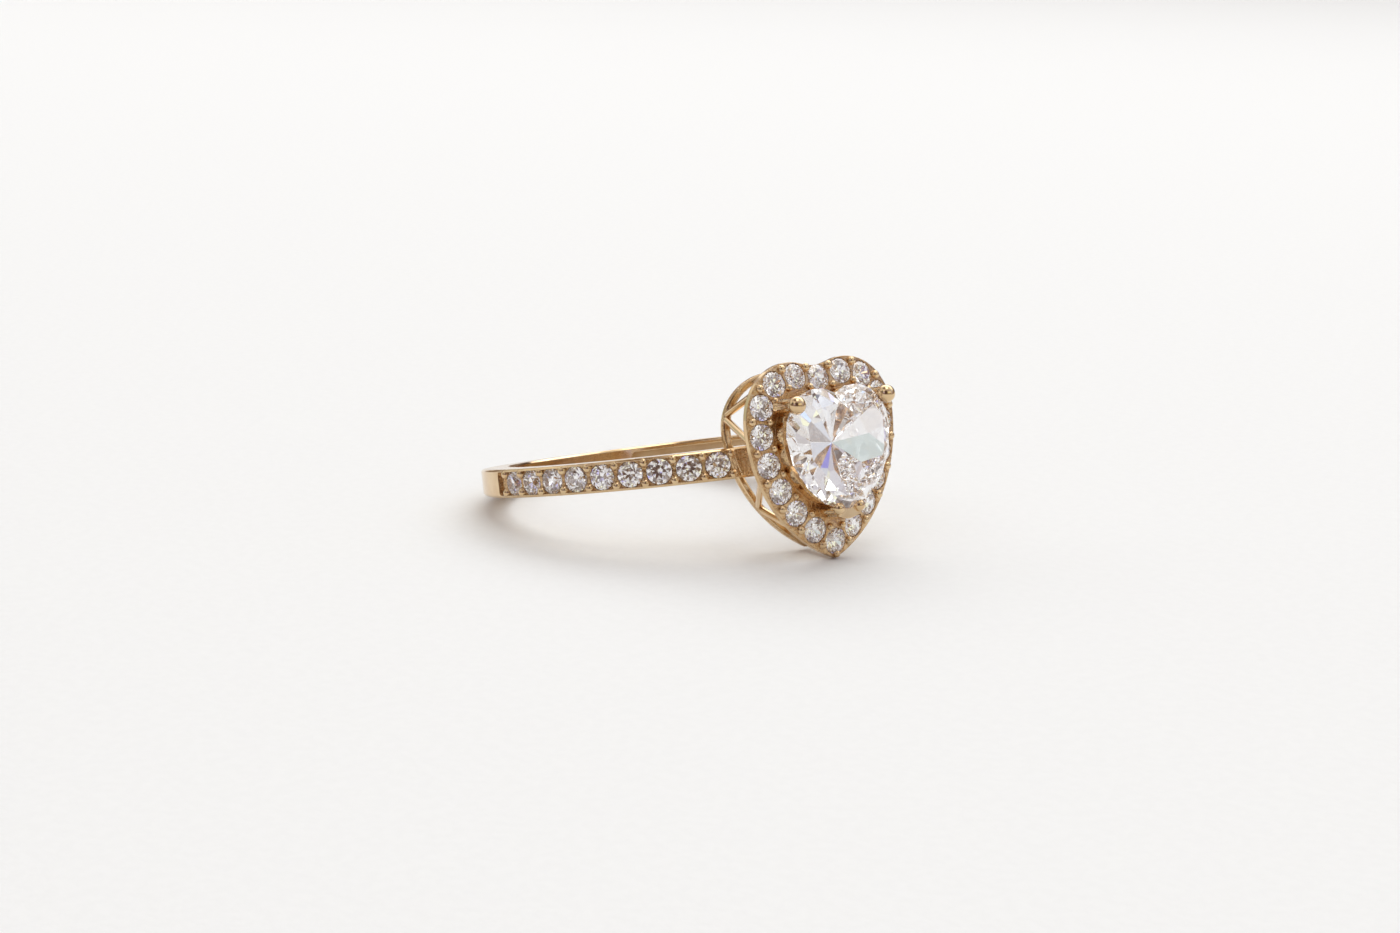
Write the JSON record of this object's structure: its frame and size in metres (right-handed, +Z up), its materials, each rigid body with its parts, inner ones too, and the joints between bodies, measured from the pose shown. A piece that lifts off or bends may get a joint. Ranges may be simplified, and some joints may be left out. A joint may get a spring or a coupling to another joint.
{
  "type": "finger ring",
  "caption": "Gold finger ring with a faceted heart-shaped clear stone, a heart halo of round stones and a row of round stones along each shoulder.",
  "frame": {"origin": "on the floor, under the middle of the ring's box as it lies on its side", "axes": "+Z up; +X from the plain back of the band towards the heart; +Y across the band"},
  "size_m": [0.0236, 0.02, 0.0095],
  "materials": {
    "gold": "polished yellow gold",
    "clear_stone": "cut and polished clear stone"
  },
  "bodies": {
    "root": {"gold_ring": "gold", "heart_stone": "clear_stone", "halo_stone_cleft": "clear_stone", "halo_stone_right_1": "clear_stone", "halo_stone_right_2": "clear_stone", "halo_stone_right_3": "clear_stone", "halo_stone_right_4": "clear_stone", "halo_stone_right_5": "clear_stone", "halo_stone_right_6": "clear_stone", "halo_stone_right_7": "clear_stone", "halo_stone_right_8": "clear_stone", "halo_stone_left_1": "clear_stone", "halo_stone_left_2": "clear_stone", "halo_stone_left_3": "clear_stone", "halo_stone_left_4": "clear_stone", "halo_stone_left_5": "clear_stone", "halo_stone_left_6": "clear_stone", "halo_stone_left_7": "clear_stone", "halo_stone_left_8": "clear_stone", "halo_stone_tip": "clear_stone", "shoulder_stone_right_1": "clear_stone", "shoulder_stone_right_2": "clear_stone", "shoulder_stone_right_3": "clear_stone", "shoulder_stone_right_4": "clear_stone", "shoulder_stone_right_5": "clear_stone", "shoulder_stone_right_6": "clear_stone", "shoulder_stone_right_7": "clear_stone", "shoulder_stone_right_8": "clear_stone", "shoulder_stone_right_9": "clear_stone", "shoulder_stone_left_1": "clear_stone", "shoulder_stone_left_2": "clear_stone", "shoulder_stone_left_3": "clear_stone", "shoulder_stone_left_4": "clear_stone", "shoulder_stone_left_5": "clear_stone", "shoulder_stone_left_6": "clear_stone", "shoulder_stone_left_7": "clear_stone", "shoulder_stone_left_8": "clear_stone", "shoulder_stone_left_9": "clear_stone"}
  },
  "joints": []
}
